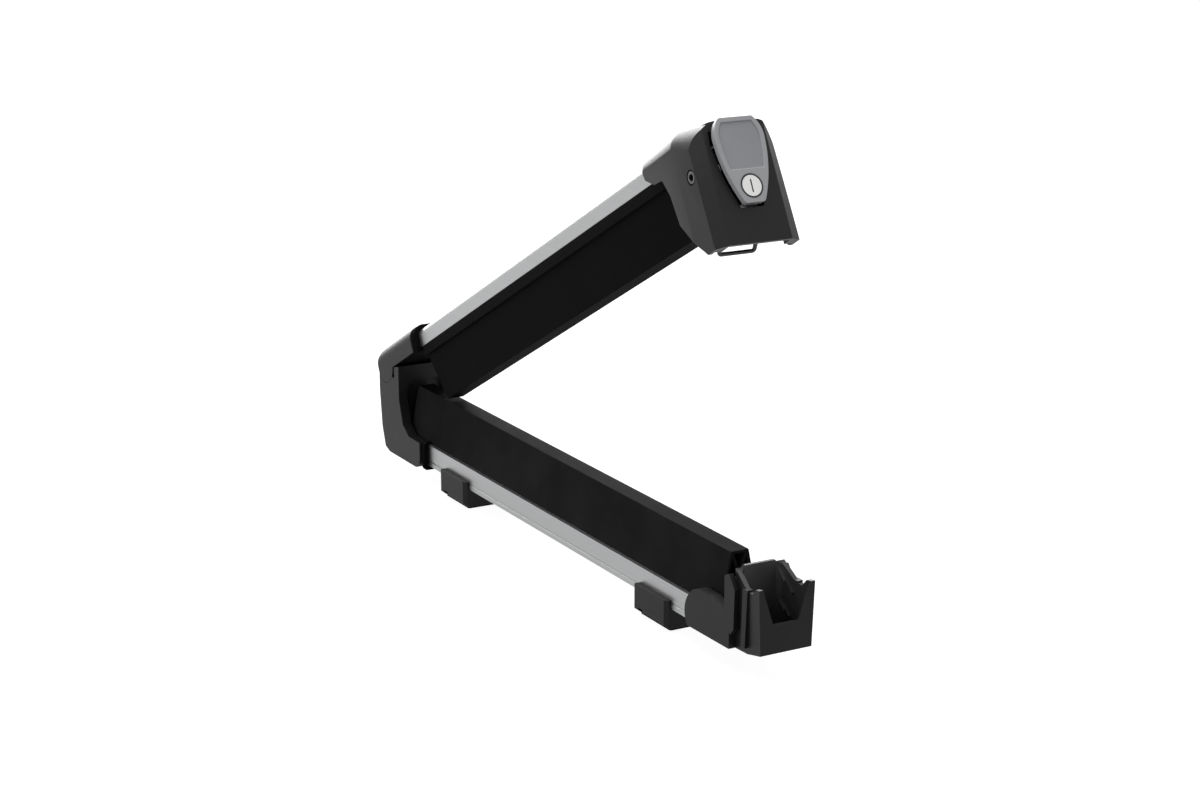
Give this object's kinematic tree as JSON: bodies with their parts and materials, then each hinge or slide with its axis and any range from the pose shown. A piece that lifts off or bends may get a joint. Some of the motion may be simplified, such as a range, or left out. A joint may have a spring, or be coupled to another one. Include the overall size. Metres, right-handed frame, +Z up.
{
  "type": "roof ski carrier",
  "caption": "Roof carrier that clamps skis or boards between rubber-faced aluminium arms, with a rising hinge, a push-button lock and feet for roof bars.",
  "frame": {"origin": "centre of the carrier's footprint, on the surface that the feet stand on", "axes": "+X along the lower arm from the hinge to the catch cup, +Z up"},
  "size_m": [0.603, 0.066, 0.3726],
  "materials": {
    "anodised": "satin anodised",
    "rubber": "matt",
    "black_plastic": "fine spark texture",
    "grey_plastic": "satin",
    "lock_metal": "satin nickel",
    "steel": "zinc plated"
  },
  "bodies": {
    "base": {"lower_profile": "anodised", "lower_rubber": "rubber", "hinge_post": "black_plastic", "post_cap": "black_plastic", "post_screws": "steel", "lower_gasket": "rubber", "end_cap": "black_plastic", "cap_screws": "steel"},
    "slider": {"hinge_slider": "steel", "hinge_pin": "steel"},
    "arm": {"upper_profile": "anodised", "upper_rubber": "rubber", "hinge_knuckle": "black_plastic", "knuckle_screws": "steel", "upper_gasket": "rubber", "lock_housing": "black_plastic", "latch_pin": "steel", "latch_spring": "steel"},
    "latch": {"catch_lever": "black_plastic", "catch_bail": "steel", "push_button": "grey_plastic", "lock_barrel": "lock_metal"},
    "lock": {"lock_plug": "lock_metal", "lock_cam": "lock_metal"},
    "rear_foot_body": {"rear_foot": "black_plastic", "rear_pad": "rubber", "rear_nut": "steel"},
    "front_foot_body": {"front_foot": "black_plastic", "front_pad": "rubber", "front_nut": "steel"}
  },
  "joints": [
    {"name": "hinge_lift", "type": "slide", "parent": "base", "child": "slider", "axis": [0, 0, 1], "range_m": [0, 0.03995]},
    {"name": "arm_hinge", "type": "hinge", "parent": "slider", "child": "arm", "pos_m": [-0.2862, 0, 0.065], "axis": [0, 1, 0], "range_deg": [0, 27.75]},
    {"name": "latch_swing", "type": "hinge", "parent": "arm", "child": "latch", "pos_m": [0.22708, 0, 0.33454], "axis": [0, -1, 0], "range_deg": [0, 11], "stiffness_Nm_per_rad": 1.5, "springref_deg": -10},
    {"name": "lock_turn", "type": "hinge", "parent": "latch", "child": "lock", "pos_m": [0.23547, 0, 0.32246], "axis": [0.885, 0, 0.4656], "range_deg": [0, 90]},
    {"name": "rear_foot_slide", "type": "slide", "parent": "base", "child": "rear_foot_body", "axis": [1, 0, 0], "range_m": [-0.028, 0.1]},
    {"name": "front_foot_slide", "type": "slide", "parent": "base", "child": "front_foot_body", "axis": [1, 0, 0], "range_m": [-0.1, 0.026]}
  ],
  "couplings": [
    {"joint": "hinge_lift", "follows": "arm_hinge", "m_per_rad": 0.082485}
  ]
}
